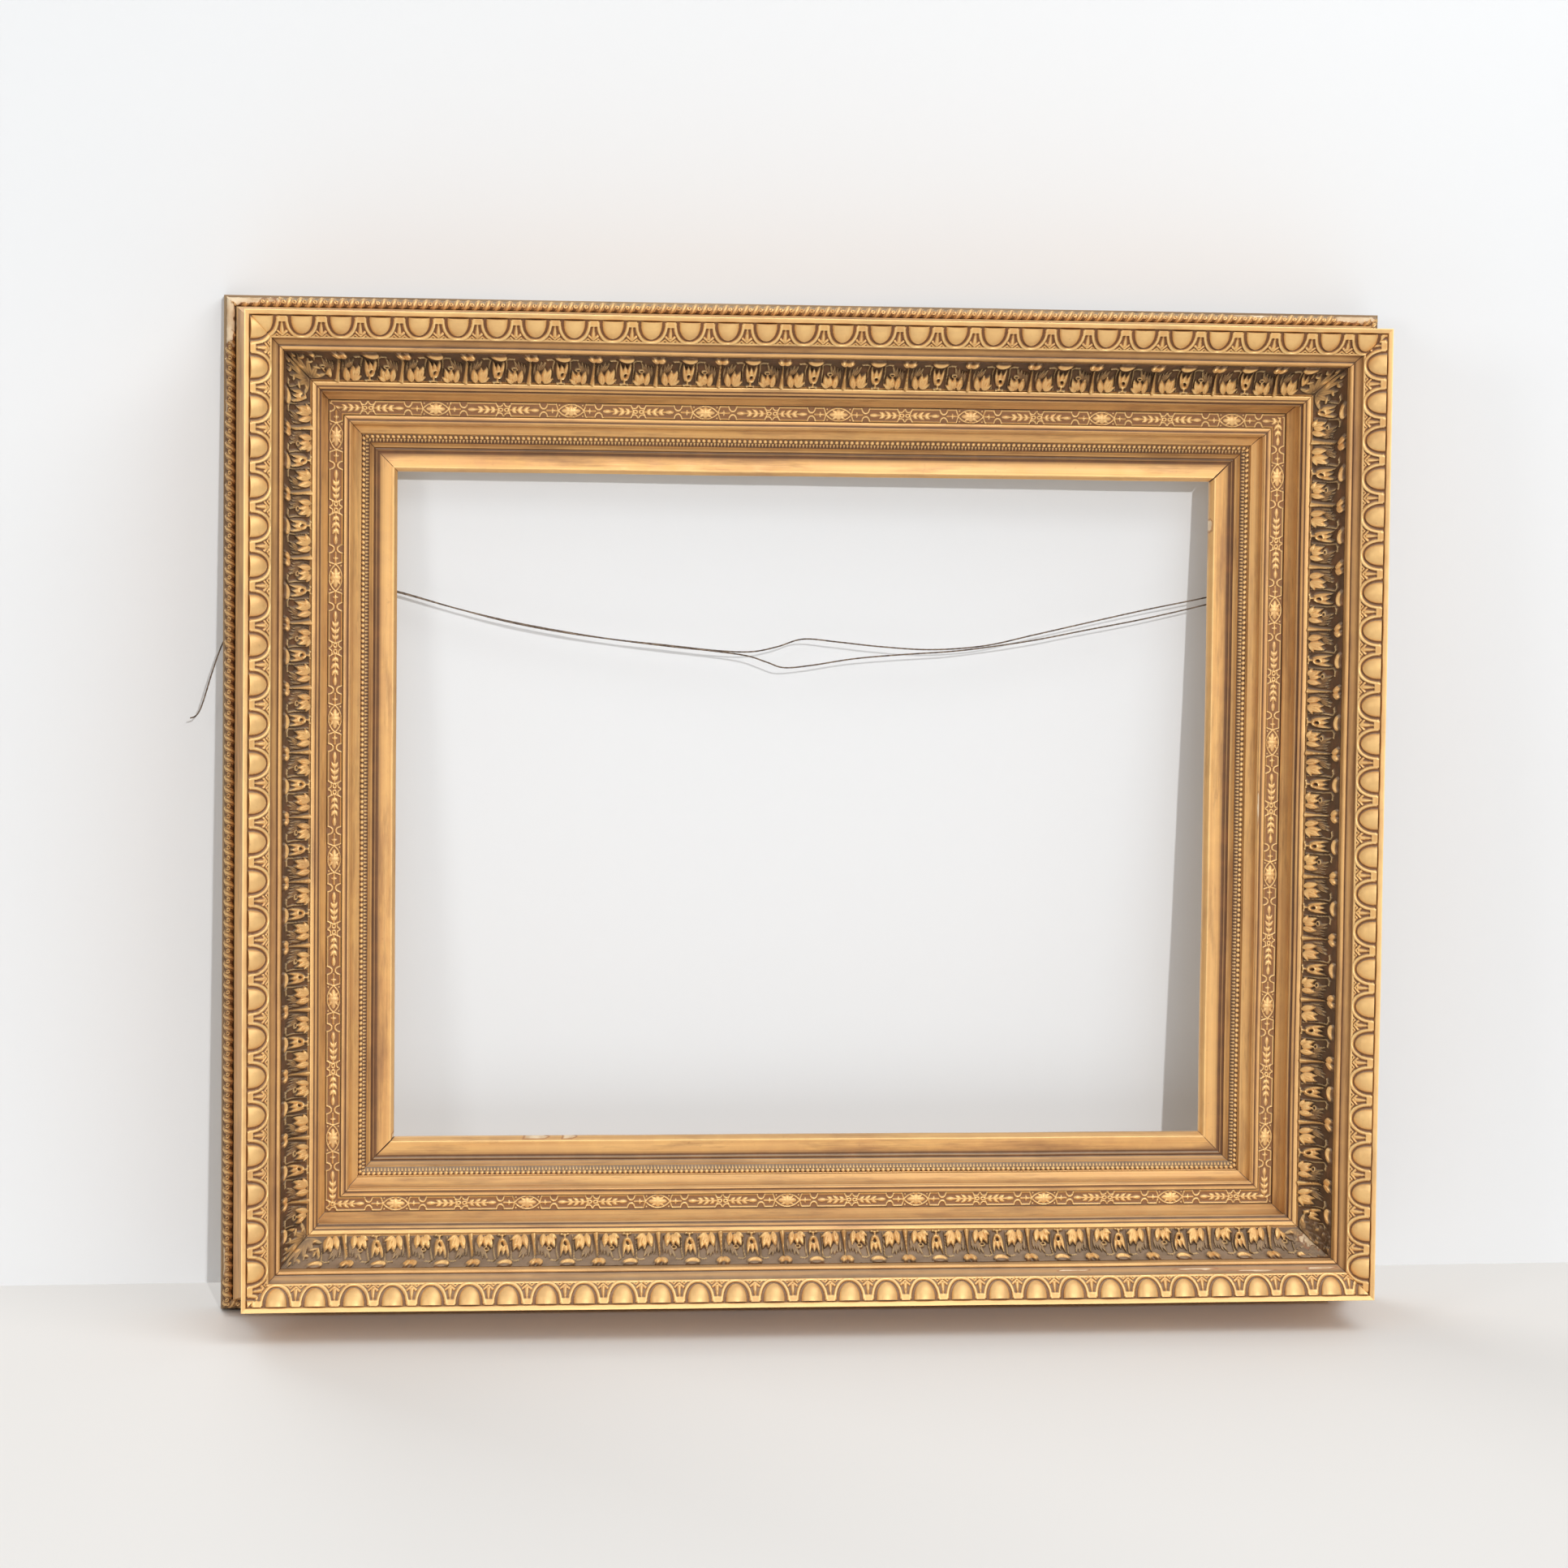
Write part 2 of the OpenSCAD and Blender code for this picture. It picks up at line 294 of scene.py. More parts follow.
def lobe(x, y, base, tip, wide, height, vein=0.5):
    """One pointed leaf lobe from its base to its tip, widest before the middle, with a vein."""
    run = (tip[0] - base[0], tip[1] - base[1])
    length = math.hypot(*run)
    share = ((x - base[0]) * run[0] + (y - base[1]) * run[1]) / length**2
    off = ((x - base[0]) * run[1] - (y - base[1]) * run[0]) / length
    s = np.clip(share, 0, 1)
    edge = wide * np.sin(math.pi * s**0.7) + 1e-6
    body = np.sqrt(np.clip(1 - (off / edge) ** 2, 0, 1))
    body = body * height * (0.72 + 0.28 * np.sin(math.pi * s))
    groove = vein * np.exp(-((off / 0.5) ** 2)) * (share > 0.05) * (share < 0.8)
    return np.where((share > 0) & (share < 1) & (np.abs(off) < edge), body - groove, 0)


# -------- sections


def arc(t, d, r, a, b, n):
    """Points on an arc round (t, d), from a degrees to b degrees."""
    g = np.radians(np.linspace(a, b, n + 1))
    return [(t + r * math.cos(v), d + r * math.sin(v)) for v in g]


def bowed(p, q, bow, n):
    """Points from p to q on a curve that bows sideways by a share of its length."""
    run = (q[0] - p[0], q[1] - p[1])
    out = []
    for i in range(n + 1):
        s = i / n
        h = bow * math.sin(math.pi * s)
        out.append((p[0] + run[0] * s - run[1] * h, p[1] + run[1] * s + run[0] * h))
    return out


# The front edge and the beds of the strips, inwards from the overall edge and out from the wall
FRONT_T = 23
EGG_BED = ((29, FRONT_D - 5), (51, 160))
LEAF_BED = ((66, 142), (JOIN_T - 3, 102))
FRIEZE_T = (116, 134)
FRIEZE_D = 57.5
BEAD_BED = ((154, 36.5), (163, 33.5))


def outer_outline():
    """Hollow outer side, front edge, bed of the eggs, cove, rounded edge and leaf scotia."""
    return [
        (14, BACK_THICK),
        (14, 42),
        *bowed((14, 42), (FRONT_T, FRONT_D - 10), -0.07, 14)[1:],
        (FRONT_T, FRONT_D),
        (28, FRONT_D - 1),
        *bowed(*EGG_BED, -0.03, 4),
        (51, 163),
        (53, 162),
        *bowed((53, 162), (60, 151), -0.2, 10)[1:],
        *arc(62.5, 149, 2.5, 150, -20, 8),
        (65, 144),
        *bowed(*LEAF_BED, -0.16, 12),
        (JOIN_T, 100),
        (JOIN_T, BACK_THICK),
    ]


def inner_outline():
    """Flat fillet, two reeds, cove, frieze bed, fillet, reed and the cove over the slip."""
    return [
        (JOIN_T, BACK_THICK),
        (JOIN_T, 103.5),
        (102, 103),
        *arc(103.5, 99, 2.5, 110, -30, 8),
        *arc(106.5, 93, 2.5, 100, -40, 8),
        *bowed((109, 90), (FRIEZE_T[0], 62), -0.2, 14),
        (FRIEZE_T[0], FRIEZE_D),
        (FRIEZE_T[1], FRIEZE_D),
        (FRIEZE_T[1], 62),
        (138, 62),
        *arc(140.2, 60.6, 1.8, 140, 0, 7),
        *bowed((143, 60), (152.5, 44), -0.2, 12),
        (153, 43),
        (153, 38.2),
        (BACK_WIDE, 38.2),
        (BACK_WIDE, BACK_THICK),
    ]


def slip_outline():
    """Tongue under the lip, bed of the beads, smooth slope, step, reed, wide flat and sight bevel."""
    return [
        (BACK_WIDE + 1, REBATE_D),
        (BACK_WIDE + 1, 38),
        (BEAD_BED[0][0], 38),
        *BEAD_BED,
        *bowed(BEAD_BED[1], (168, 28), -0.12, 6)[1:],
        (168.5, 26),
        *arc(170.8, 25, 1.7, 150, 20, 7),
        (173, 25),
        (191, 26.5),
        (194.5, 20.5),
        (SIGHT_T, 19),
        (SIGHT_T, REBATE_D),
    ]


def turning(points):
    """How sharply a closed outline turns at each point: positive where it stands proud."""
    p = np.array(points, float)
    before, after = p - np.roll(p, 1, axis=0), np.roll(p, -1, axis=0) - p
    cross = before[:, 0] * after[:, 1] - before[:, 1] * after[:, 0]
    dot = (before * after).sum(1)
    return -np.arctan2(cross, dot)


def openness(points, reach=60):
    """How much each point of a closed outline sees past the whole section, from 0 to 1."""
    p = np.array(points, float)
    run = np.roll(p, -1, axis=0) - np.roll(p, 1, axis=0)
    run /= np.linalg.norm(run, axis=1)[:, None] + 1e-9
    facing = np.stack([-run[:, 1], run[:, 0]], axis=1)
    starts = [np.array(o, float) for o in (outer_outline(), inner_outline(), slip_outline())]
    a = np.concatenate(starts)
    edge = np.concatenate([np.roll(o, -1, axis=0) - o for o in starts])
    seen, total = 0, 0
    for g in np.radians(np.arange(-72, 73, 12)):
        way = np.stack([
            facing[:, 0] * math.cos(g) - facing[:, 1] * math.sin(g),
            facing[:, 0] * math.sin(g) + facing[:, 1] * math.cos(g),
        ], axis=1)
        gap = a[None] - (p + 0.1 * way)[:, None]
        denom = way[:, None, 0] * edge[None, :, 1] - way[:, None, 1] * edge[None, :, 0]
        denom = np.where(np.abs(denom) < 1e-9, 1e-9, denom)
        far = (gap[..., 0] * edge[None, :, 1] - gap[..., 1] * edge[None, :, 0]) / denom
        share = (gap[..., 0] * way[:, None, 1] - gap[..., 1] * way[:, None, 0]) / denom
        hit = (far > 0.3) & (far < reach) & (share > 0) & (share < 1)
        seen = seen + math.cos(g) * ~hit.any(axis=1)
        total += math.cos(g)
    return seen / total


# How much painted shade a sheltered place takes off, what an edge adds (rubbing and a painted highlight)
# and a corner takes off (dirt and painted shade), with their reach
PAINTED_SHELTER_SHADE = 0.27
EDGE_RUB_AND_HIGHLIGHT, EDGE_REACH = 0.36, 1.5
CORNER_DIRT_AND_SHADE, CORNER_REACH = 0.48, 1.9


def dressed(outline, nose=0.5, step=5.0):
    """The outline with its sharp corners eased, close points near them, and a value of wear and painted
    light at each.

    That value is 0.5 on a plain face, higher on a proud edge, for rubbing and a painted highlight, and
    lower in a corner and in a sheltered place, for dirt and painted shade.
    """
    p = np.array(outline, float)
    keep = np.linalg.norm(p - np.roll(p, 1, axis=0), axis=1) > 1e-4
    p = p[keep]
    turn = turning(p)
    eased, edges = [], []
    for i, point in enumerate(p):
        before, after = p[i - 1] - point, p[(i + 1) % len(p)] - point
        lb, la = np.linalg.norm(before), np.linalg.norm(after)
        if abs(turn[i]) > math.radians(28):
            cut = min(nose, lb * 0.35, la * 0.35)
            a, b = point + before / lb * cut, point + after / la * cut
            eased += [a, (a + b) / 4 + point / 2, b]
            edges.append((point, math.copysign(min(abs(turn[i]), 1.6), turn[i])))
        else:
            eased.append(point)
            if abs(turn[i]) > math.radians(9):
                edges.append((point, turn[i] * 0.6))
    full = []
    for i, a in enumerate(eased):
        b = eased[(i + 1) % len(eased)]
        gap = np.linalg.norm(b - a)
        marks = [0.0]
        if gap > 3:
            marks += [0.9 / gap, 1 - 0.9 / gap]
        if gap > 7:
            marks += [2.4 / gap, 1 - 2.4 / gap]
        if gap > step:
            marks += list(np.arange(step, gap - step / 2, step) / gap)
        full += [a + (b - a) * m for m in sorted(marks)]
    full = np.array(full)
    # Painted shade: places that see little past the section are darkened, like ambient occlusion
    wear_and_painted_light = 0.5 - PAINTED_SHELTER_SHADE * (1 - openness(full))
    # Rubbing and a painted highlight on proud edges; dirt and painted shade in corners
    for place, strength in edges:
        gap = np.linalg.norm(full - place, axis=1)
        if strength > 0:
            wear_and_painted_light += strength * EDGE_RUB_AND_HIGHLIGHT * np.exp(-gap / EDGE_REACH)
        else:
            wear_and_painted_light += strength * CORNER_DIRT_AND_SHADE * np.exp(-gap / CORNER_REACH)
    return full, np.clip(wear_and_painted_light, 0, 1)


# -------- laying a rail


def side_half(k):
    """Half the length of side k."""
    return (OVERALL_H if k % 2 else OVERALL_W) / 2


def side_out(k):
    """How far the outer edge of side k is from the middle of the opening."""
    return (OVERALL_W if k % 2 else OVERALL_H) / 2


def to_frame(k, x, t, d):
    """Points of side k, along, inwards and away from the wall, as places in the frame, in metres."""
    low = t - side_out(k)
    across, up = {0: (x, low), 1: (low, -x), 2: (-x, -low), 3: (-low, x)}[k]
    return np.stack([across, -d, up], axis=-1) * MM


# Length of the last row of faces before a mitre, where its dark line lies
MITRE_ROW = 1.1


def lay(name, k, outline, stations, shape, crease=38):
    """Sweep a closed outline along side k between its mitres.

    shape(share, t, d) gives the moved x, t and d, and the marks that the finish reads. share runs
    from -1 to 1 between the mitres.
    """
    near_end = 1 - MITRE_ROW / side_half(k)
    share = np.concatenate([[-1], np.linspace(-near_end, near_end, stations), [1]])[:, None]
    t = np.tile(outline[:, 0], (len(share), 1))
    d = np.tile(outline[:, 1], (len(share), 1))
    x, t, d, marks = shape(share, t, d)
    marks["lay"] = np.stack([x, t, d], axis=-1) * MM
    return skin(name, to_frame(k, x, t, d), marks, crease)


def hand_wobble(k, x, t, d, size=0.22):
    """The small waviness of mouldings laid and gessoed by hand."""
    seed = 11 * k
    dt = size * clouds(x, t * 0 + 3, 180, seed + 1)
    dd = size * clouds(x, t * 0.5, 90, seed + 5)
    return t + dt, d + dd


# Losses of gilding and gesso: side, place along, place inwards, half length and half width
CHIPS = [
    (1, 395, 194.6, 8, 1.6),
    (1, 378, 194.6, 4, 1.2),
    (0, -306, 194.6, 15, 1.4),
    (0, -268, 194.6, 6, 1.2),
    (0, 298, 57, 20, 0.9),
    (0, 440, 57, 30, 1.0),
    (0, 586, 57, 17, 1.5),
    (0, 505, 55, 30, 0.6),
    (0, 588, 84, 20, 11),
    (3, 330, 194.6, 5, 1.2),
    (3, 8, 141, 26, 0.9),
    (3, -210, 98, 3, 2),
    (2, 640, 4, 34, 7),
    (2, -632, 4, 22, 7),
    (2, -520, 3, 40, 2.5),
    (1, -545, 4, 36, 9),
    (1, -470, 2, 30, 2.4),
    (1, 520, 3, 20, 3),
]


def chipped(k, x, t):
    """How bare each point is, from 0 to 1, with ragged edges."""
    bare = np.zeros(np.broadcast(x, t).shape)
    ragged = 0.4 * clouds(x, t, 6, 40 + k)
    for side, cx, ct, half_long, half_wide in CHIPS:
        if side == k:
            away = np.hypot((x - cx) / half_long, (t - ct) / half_wide)
            bare = np.maximum(bare, np.clip((1 + ragged - away) * 2.5, 0, 1))
    return bare


# Where an open mitre starts, how deep a chip is, and the distance between the sections of a rail
CRACK_T = 165
CHIP_DEEP = 0.6
RAIL_STEP = 9


def rail(name, k, outline, crack=0.0, open_end=0):
    """A plain moulding rail. A crack leaves its mitre open by so much at one end."""
    full, wear_and_painted_light = dressed(outline)

    def shape(share, t, d):
        moved_t, moved_d = hand_wobble(k, share * side_half(k), t, d)
        reach = side_half(k) - moved_t
        if crack:
            opened = (share * open_end > 0) * (t > CRACK_T) * crack
            reach = reach - opened * np.clip((t - CRACK_T) / (SIGHT_T - CRACK_T), 0, 1)
        x = share * reach
        bare = chipped(k, x, moved_t)
        moved_d = moved_d - CHIP_DEEP * bare * (d > REBATE_D + 2)
        mitre = 0.5 * (np.abs(share) > 0.9999) * (t > 52)
        marks = {
            # The mark of wear and painted light: dirt and painted shade in hollows, rubbing and a painted
            # highlight on edges, and the dark mitre joint
            "bare": bare,
            "wear_and_painted_light": np.clip(wear_and_painted_light[None, :] - mitre, 0, 1),
            "raw": 1.0 * (d < REBATE_D + 0.6),
        }
        return x, moved_t, moved_d, marks

    stations = int(side_half(k) * 2 / RAIL_STEP) + 1
    return lay(name, k, full, stations, shape)


# -------- ornament


# How each strip was laid on the bottom, left, top and right: its repeat and where one middle falls
EGGS_LAID = ((42.6, -5.3), (43.2, -12.7), (42.5, -16.6), (42.7, -1.9))
LEAVES_LAID = ((70.7, 3.8), (72.0, -29.4), (70.8, 8.0), (71.0, 34.3))
FRIEZE_LAID = ((149.0, -20.0), (158.0, 57.7), (151.8, -28.3), (152.7, 79.0))
BEAD_PITCH = 5.85
RIBBON_PITCH = 11.7
ROD_RADIUS = 4.4

# The repeats at which the motifs below are drawn, and how low the corner foliage lies beside them
EGG_DRAWN = 42.6
LEAF_DRAWN = 71.0
FRIEZE_DRAWN = 156.0
CORNER_LOW = 0.68


def folded(x, pitch, middle=0.0):
    """Distance along from the middle of the nearest repeat."""
    return (x - middle) - pitch * np.rint((x - middle) / pitch)


def egg_relief(x, v, k, end):
    """Eggs cut off by the front edge, each in a raised rim, with arrow darts between them."""
    pitch, middle = EGGS_LAID[k]
    s = np.abs(folded(x, pitch, middle)) * EGG_DRAWN / pitch
    side = EGG_DRAWN / 2 - s
    ground = -0.5 + 0.12 * clouds(x, v, 5, 60 + k)
    egg = dome(s, v, (0, 2.6), 11.9, 19.6, 6.2, 0.5)
    ring = np.hypot(s / 16.5, np.maximum(v - 2.6, 0) / 22.6)
    rim = band((ring - 1) * 16.5, 1.75, 2.9, 0.7) * (v > 1.5)
    web = band(side, 5.4, 2.8) * np.clip((7.0 - v) / 0.8, 0, 1)
    shaft = np.interp(v, [7.0, 12, 16, 19.5, 20.5], [0.9, 1.5, 2.3, 2.6, 0.1])
    dart = 2.6 * np.clip(1 - side / shaft, 0, 1) ** 0.5 * (v > 6.8)
    upper_barb = ridge(near_line(side, v, (0, 22.6), (5.0, 17.8)), 1.25, 2.3)
    lower_barb = ridge(near_line(side, v, (0, 26.8), (5.8, 21.6)), 0.95, 2.0)
    sprig = ridge(near_line(side, v, (7.0, 23.0), (12.0, 27.2)), 1.1, 1.4)
    height = np.maximum.reduce([ground, egg, web, dart, upper_barb, lower_barb, sprig])
    moat = np.clip(1 - np.abs(ring * 16.5 - 13.2) / 1.6, 0, 1) * (v > 1.5)
    height = np.where(egg > 3.0, height, height - 1.1 * moat)
    return np.maximum(height, rim)


def leaf_motif(s, v):
    """One repeat of the leaf band about its husk, from 0 at the outer edge to 52 at the inner."""
    a = np.abs(s)
    b = LEAF_DRAWN / 2 - a
    parts = []
    # Foliage behind, low and dull
    for base, tip, wide in (
        ((25, 37), (17.8, 19.6), 2.9),
        ((25, 37), (22.4, 18.8), 2.5),
        ((26, 39), (26.4, 23.0), 2.3),
        ((30.4, 44), (29.6, 23.4), 2.0),
        ((-24, 39), (-17.4, 18.0), 2.6),
        ((-24, 39), (-22.4, 19.8), 2.3),
        ((-27, 40), (-26.4, 23.6), 2.0),
        ((-29.6, 44), (-29.4, 24.6), 2.1),
    ):
        parts.append(lobe(s, v, base, tip, wide, 3.2, 1.0))
    stem = near_path(a, v, (9.4, 50), (9.8, 30), (8.8, 16), (12.4, 12.2), (17.5, 14.0))
    scoop = dome(s, v, (0, -2.2), 6.8, 5.6, 1.0, 0.3)
    parts += [
        ridge(near_ring(s, v, (-18.5, 33.0), 2.6, 2.2), 0.9, 3.6),
        # Stems up both sides of the husk, arching over the foliage
        ridge(stem, 0.85, 2.6),
        ridge(near_path(b, v, (6.0, 50), (4.4, 38), (3.6, 24)), 0.5, 1.6),
        # Crescent over the husk
        dome(s, v, (0.4, 4.6), 9.6, 6.6, 6.4) * (1 - 0.85 * scoop),
        # The husk, a cup of three petals
        dome(s, v, (0, 38), 6.3, 10.5, 4.9) * (v > 30),
        lobe(a, v, (2.8, 46), (6.0, 19.0), 2.3, 5.4, 0.6),
        lobe(s, v, (0, 41), (0.2, 24.0), 3.4, 5.6, 0.6),
    ]
    # A slot in the husk, with a ring round it, and the husk's foot
    slot = dome(s, v, (-0.4, 38.8), 1.7, 3.4, 5.2, 0.3)
    parts = [
        np.maximum.reduce(parts) - slot,
        ridge(near_ring(s, v, (-0.4, 38.8), 3.0, 5.0), 1.15, 6.6),
        ridge(near_line(s, v, (0, 45), (0, 50.4)), 1.3, 4.4),
        ridge(near_path(a, v, (0, 50.0), (4.0, 51.4)), 1.1, 4.2),
        dome(s, v, (16.2, 41.5), 4.6, 7.2, 5.4),
    ]
    # The vine leaves right of the husk and left of it
    for base, tip, wide in (
        ((18.4, 51), (12.0, 30.5), 5.0),
        ((18.4, 51), (19.0, 30.0), 4.6),
        ((19.4, 50.5), (8.6, 44.0), 3.1),
        ((24.4, 52), (27.2, 33.0), 4.6),
        ((-24.0, 52), (-26.6, 34.0), 4.2),
        ((-19.6, 50), (-18.8, 34.0), 3.6),
        ((-17.4, 51), (-12.0, 34.0), 4.2),
        ((-17.4, 51.4), (-8.8, 45.0), 3.0),
    ):
        parts.append(lobe(s, v, base, tip, wide, 6.6, 1.3))
    # Spike widening towards the picture, with a cap of two lobes
    spike = np.interp(v, [19, 26, 38, 50, 53], [0.3, 0.8, 1.7, 3.4, 3.7])
    parts += [
        6.6 * np.clip(1 - b / spike, 0, 1) ** 0.6 * (v > 19),
        lobe(b, v, (1.4, 13.0), (5.4, -3.0), 4.6, 6.4, 0.3),
        dome(b, v, (5.0, 4.6), 3.4, 4.6, 5.8),
    ]
    return np.maximum.reduce(parts)


def corner_motif(end, v):
    """The dull cluster of foliage over each mitre. end is the distance from the mitre."""
    parts = []
    for tip, wide in (((24, 30), 3.6), ((20, 18), 3.8), ((11, 9), 4.0), ((3, 5), 3.4), ((27, 42), 3.0)):
        parts.append(lobe(end, v, (2, 49), tip, wide, 5.0, 0.9))
    for base, tip in (((13, 27), (22, 24)), ((9, 20), (17, 11)), ((5, 14), (6, 3)), ((15, 34), (26, 36))):
        parts.append(lobe(end, v, base, tip, 2.6, 5.8, 0.6))
    parts.append(dome(end, v, (3, 33), 4.4, 6.0, 5.8))
    parts.append(dome(end, v, (13, 45), 3.6, 3.0, 5.6))
    return np.maximum.reduce(parts)


def leaf_relief(x, v, k, end):
    """Husks, vine leaves and spikes on a low rough ground, with foliage on each mitre."""
    pitch, middle = LEAVES_LAID[k]
    s = folded(x, pitch, middle) * LEAF_DRAWN / pitch
    ground = 0.45 * clouds(x, v, 6, 80 + k) - 0.3
    share = np.clip((25 - end) / 3, 0, 1)
    height = leaf_motif(s, v) * (1 - share) + corner_motif(end, v) * share * CORNER_LOW
    # One corner has lost its foliage
    if k in (0, 3):
        lost = (k == 0) * (x > 0) + (k == 3) * (x < 0)
        rubbed = np.clip((30 - end + 6 * clouds(x, v, 9, 5)) / 6, 0, 1) * lost * np.clip((44 - v) / 8, 0, 1)
        height = height * (1 - rubbed) + rubbed * (1.8 + 1.3 * clouds(x, v, 5, 7))
    return np.maximum(height, ground)


def frieze_relief(x, v, k, end):
    """Raised strapwork: pointed rings with rosettes, cups, crosses, sprays and knots."""
    pitch, middle = FRIEZE_LAID[k]
    u = np.abs(folded(x, pitch, middle)) * FRIEZE_DRAWN / pitch
    w = v - 8.6
    a = np.abs(w)
    edge = 7.2
    lines = [
        np.where(u < 14.9, np.abs(np.hypot(u, a + 11.4) - 18.6), 99),
        near_line(u, a, (14.7, 0), (17.2, edge)),
        near_line(u, a, (17.2, edge), (27.4, edge)),
        near_line(u, a, (36.4, edge), (69.2, edge)),
        np.where(a < 7.8, near_ring(u, a, (31.9, 7.7), 4.4, 5.9), 99),
        np.where(a < 7.8, near_ring(u, a, (73.4, 7.7), 3.9, 4.2), 99),
        near_line(u, a, (69.2, edge), (72.0, 1.2)),
        near_ring(u, a, (74.6, 0), 2.2, 1.7),
        near_line(u, a, (47, 0), (72, 0)),
        near_line(u, a, (16, 0), (28, 0)),
    ]
    height = [
        *[ridge(line, 0.85, 1.6) for line in lines],
        # Rosette in the pointed ring
        dome(u, a, (0, 0), 11.4, 3.4, 1.8, 0.6),
        dome(u, a, (0, 0), 4.0, 6.6, 1.9, 0.6),
        lobe(u, a, (0.5, 0.5), (7.6, 5.2), 2.2, 1.6, 0.2),
        dome(u, a, (13.4, 6.2), 1.1, 1.1, 1.2),
        # Small cross between the ring and the cups
        dome(u, a, (21.5, 0), 1.3, 3.4, 1.5),
        dome(u, a, (21.0, 0), 4.4, 1.2, 1.5),
        # Bud of a spray, pointing to the ring
        dome(u, a, (41.8, 0), 5.2, 2.2, 1.7),
    ]
    # Paired leaves of the spray
    for root, tip in (((54.6, 0), (47.6, 3.9)), ((61.8, 0), (54.8, 4.8)), ((68.2, 0), (62.8, 3.6))):
        height.append(lobe(u, a, root, tip, 2.0, 1.8, 0.2))
    ground = -0.25 + 0.14 * clouds(x, v, 4, 90 + k, 2)
    return np.maximum.reduce([ground + 0 * u, *height])


def bead_relief(x, v, k, end):
    """A row of round beads, then a row of small leaf tips."""
    s = folded(x, BEAD_PITCH)
    bead = dome(s, v, (0, 2.3), 2.3, 2.0, 2.2)
    tongue = np.abs(folded(x, BEAD_PITCH / 1.5, BEAD_PITCH / 6))
    tip = np.interp(v, [4.9, 6.4, 9.2], [1.6, 1.5, 0.2])
    leaf = np.clip(1 - (tongue / tip) ** 2, 0, 1) ** 0.6 * (v > 5.0) * (v < 9.3)
    thread = ridge(v - 4.6, 0.35, 0.4)
    return np.maximum.reduce([bead, leaf, thread + 0 * x, -0.35 + 0 * x])


def ribbon_relief(x, v, k, end):
    """A ribbon wound round a rod, with a ring in each turn. v is the distance round the rod."""
    round_rod = v - math.pi * ROD_RADIUS / 2
    s = folded(x - 0.45 * round_rod, RIBBON_PITCH)
    turn = ridge(np.abs(s) - RIBBON_PITCH / 2, 1.9, 1.5)
    wisp = ridge(np.abs(s) - 2.9, 0.6, 0.7)
    ring_gap = np.hypot(folded(x, RIBBON_PITCH), round_rod)
    ring = ridge(ring_gap - 1.5, 0.8, 1.7)
    return np.maximum.reduce([turn, wisp, np.where(ring_gap < 2.2, ring, 0), 0.15 + 0 * s])


def resample(points, count):
    """A curve again, as evenly spaced points, with the length along it at each."""
    p = np.array(points, float)
    along = np.concatenate([[0], np.cumsum(np.linalg.norm(np.diff(p, axis=0), axis=1))])
    at = np.linspace(0, along[-1], count)
    return np.stack([np.interp(at, along, p[:, 0]), np.interp(at, along, p[:, 1])], axis=1), at


def normals_of(curve):
    run = np.gradient(curve, axis=0)
    n = np.stack([-run[:, 1], run[:, 0]], axis=1)
    return n / np.linalg.norm(n, axis=1)[:, None]


def strip(name, k, face, back, across, step, relief, tall, sharpness, reach=2):
    """A pressed ornament strip: relief raises its face, and its back is the bed that it lies on.

    The marks say how high each point stands, and how proud it is of what is round it.
    """
    top, at = resample(face, across)
    under, _ = resample(back, 6)
    outline = np.concatenate([top, under[::-1]])
    rise = np.concatenate([normals_of(top), np.zeros((len(under), 2))])

    def shape(share, t, d):
        x = share * (side_half(k) - t)
        height = np.zeros(x.shape)
        face_x = x[:, :across]
        end = side_half(k) - t[:, :across] - np.abs(face_x)
        height[:, :across] = relief(face_x, at[None, :], k, end)
        bare = chipped(k, x, t)
        height = height * (1 - 0.8 * bare)
        # Hollows round raised ornament get dirt and painted shade, and its crests rubbing and a painted
        # highlight, through the mark of wear and painted light
        proud = height - blurred(height, reach)
        t = t + rise[None, :, 0] * height
        d = d + rise[None, :, 1] * height
        x = share * (side_half(k) - t)
        marks = {
            "relief": np.clip(height / tall, 0, 1),
            "wear_and_painted_light": np.clip(0.5 + sharpness * proud, 0, 1),
            "bare": bare,
        }
        return x, t, d, marks

    stations = int(side_half(k) * 2 / step) + 1
    return lay(name, k, outline, stations, shape, crease=75)


def make_ornament(k, side):
    """The five pressed strips of one side, by name."""
    egg_bed = bowed(*EGG_BED, -0.03, 6)
    egg_face = bowed((29, FRONT_D - 3.6), (51, 161.2), 0.06, 12)
    leaf_bed = bowed(*LEAF_BED, -0.16, 12)
    leaf_face = bowed((66.6, 142.6), (JOIN_T - 2.4, 103), -0.15, 24)
    frieze_bed = [(116.4, 57.4), (133.6, 57.4)]
    frieze_face = [(116.4, 58.2), (133.6, 58.2)]
    bead_bed = [(154.1, 36.4), (163, 33.4)]
    bead_face = [(154.1, 38.0), (155.8, 38.6), (163.3, 34.2)]
    rod_bed = [(3.2, BACK_THICK), (12.0, BACK_THICK)]
    rod_face = arc(7.6, BACK_THICK + 5, ROD_RADIUS, 185, -5, 18)
    return {
        "eggs": strip(f"eggs_{side}", k, egg_face, egg_bed, 29, 0.95, egg_relief, 5.5, 0.34, 3),
        "leaves": strip(f"leaves_{side}", k, leaf_face, leaf_bed, 54, 0.92, leaf_relief, 6.2, 0.17, 3),
        "frieze": strip(f"frieze_{side}", k, frieze_face, frieze_bed, 27, 0.78, frieze_relief, 1.2, 0.7),
        "beads": strip(f"beads_{side}", k, bead_face, bead_bed, 15, 0.73, bead_relief, 1.6, 0.45),
        "ribbon": strip(f"ribbon_{side}", k, rod_face, rod_bed, 17, 0.85, ribbon_relief, 1.6, 0.5),
    }


# -------- materials


